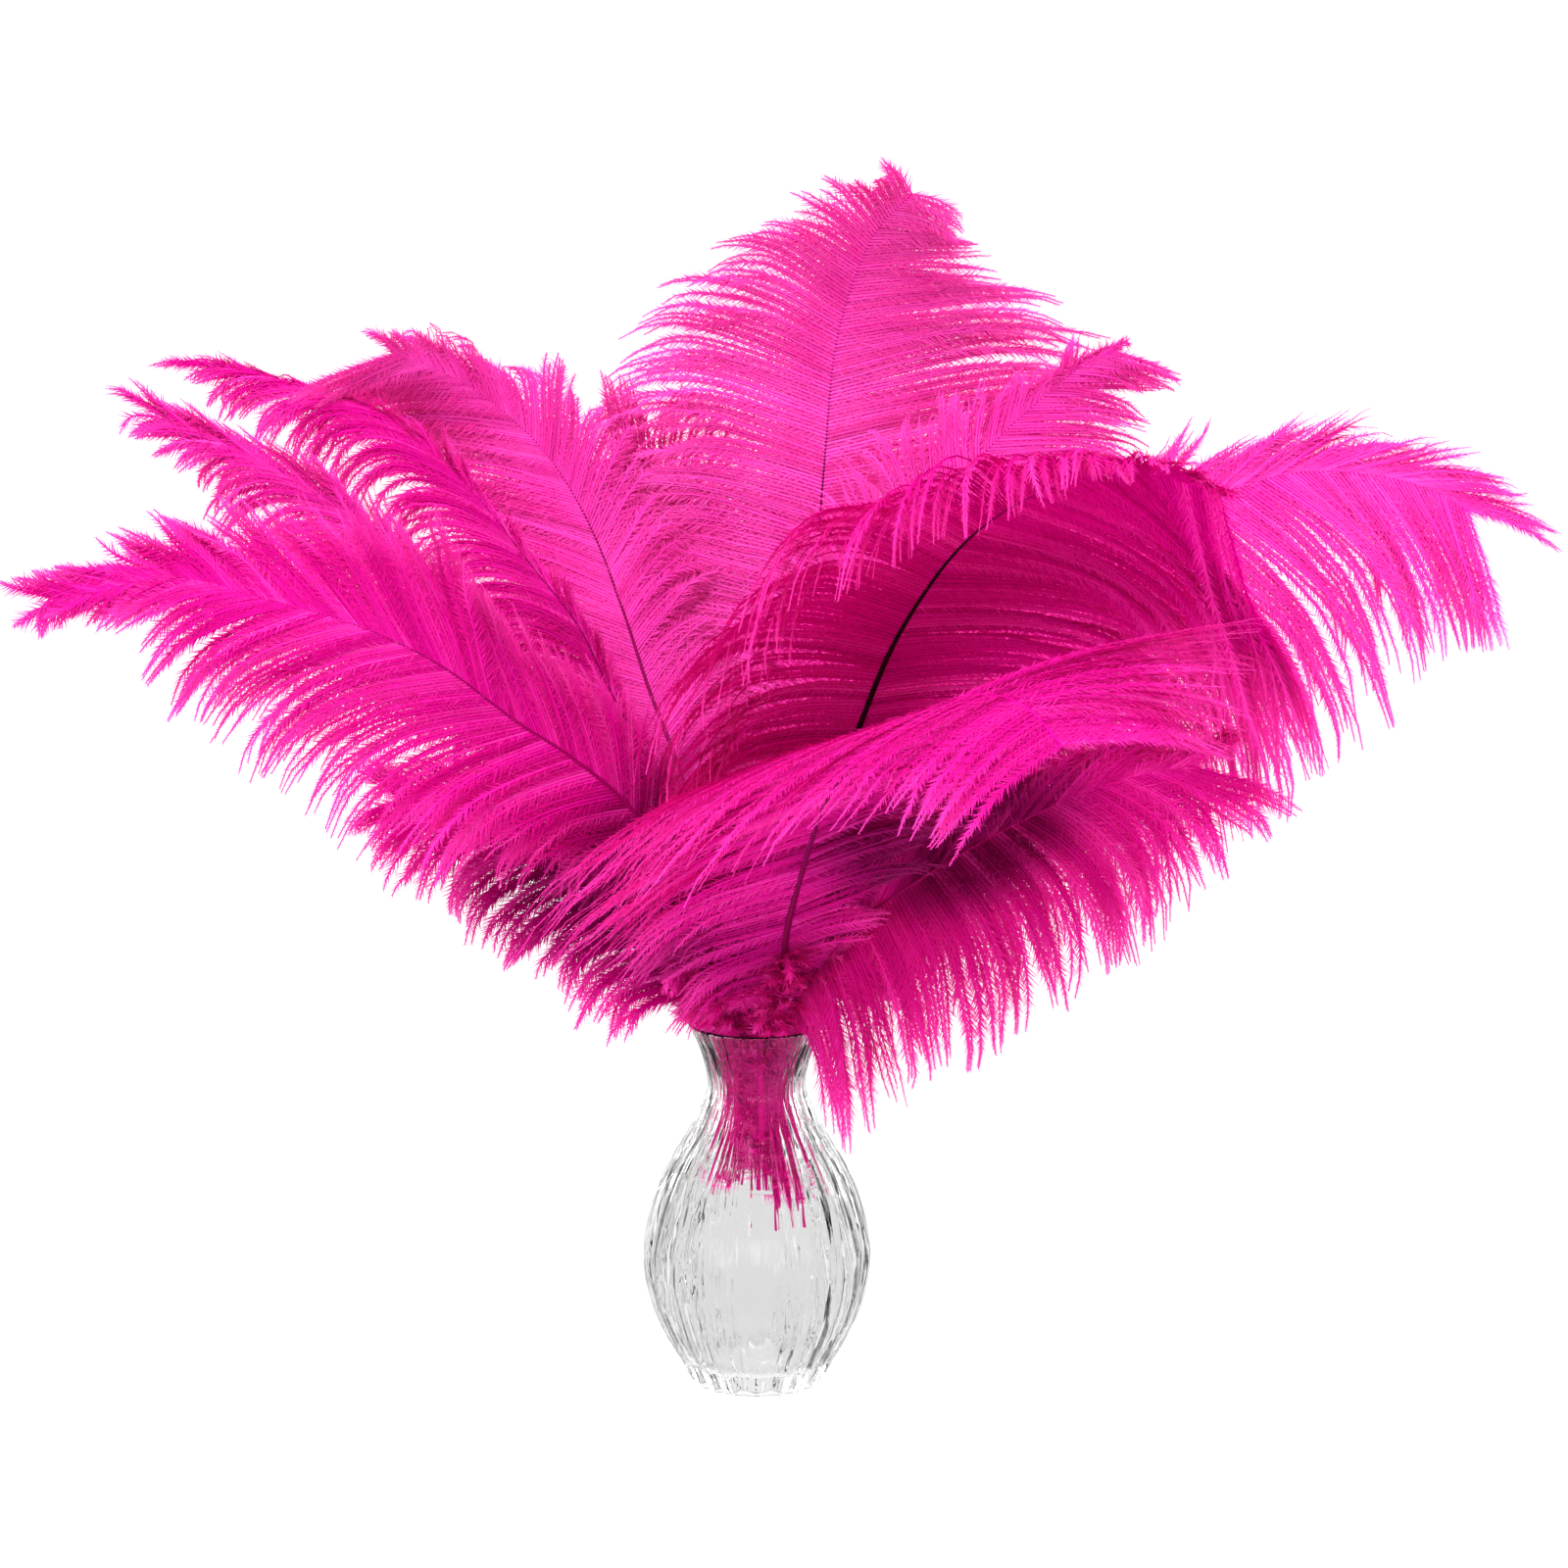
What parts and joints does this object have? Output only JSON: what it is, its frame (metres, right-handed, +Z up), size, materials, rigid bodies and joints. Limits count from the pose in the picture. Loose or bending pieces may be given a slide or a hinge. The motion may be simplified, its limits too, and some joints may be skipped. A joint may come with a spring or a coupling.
{
  "type": "ostrich feather bunch in a vase",
  "caption": "Bunch of hot pink dyed ostrich plumes fanned out in a small fluted clear glass bud vase.",
  "frame": {"origin": "middle of the vase's flat foot", "axes": "+Z up through the vase's mouth, +X along the fan of plumes to its long right side, -Y to the front"},
  "size_m": [0.5134, 0.3518, 0.4018],
  "materials": {
    "glass": "gloss",
    "plume": "satin"
  },
  "bodies": {
    "root": {"vase": "glass", "plume_front": "plume", "plume_big_right": "plume", "plume_centre_tall": "plume", "plume_lower_left": "plume", "plume_left_broad": "plume", "plume_far_right": "plume", "plume_left_second": "plume", "plume_left_third": "plume", "plume_upper_right": "plume", "plume_lower_right": "plume", "plume_lower_back": "plume", "plume_centre_left": "plume"}
  },
  "joints": []
}
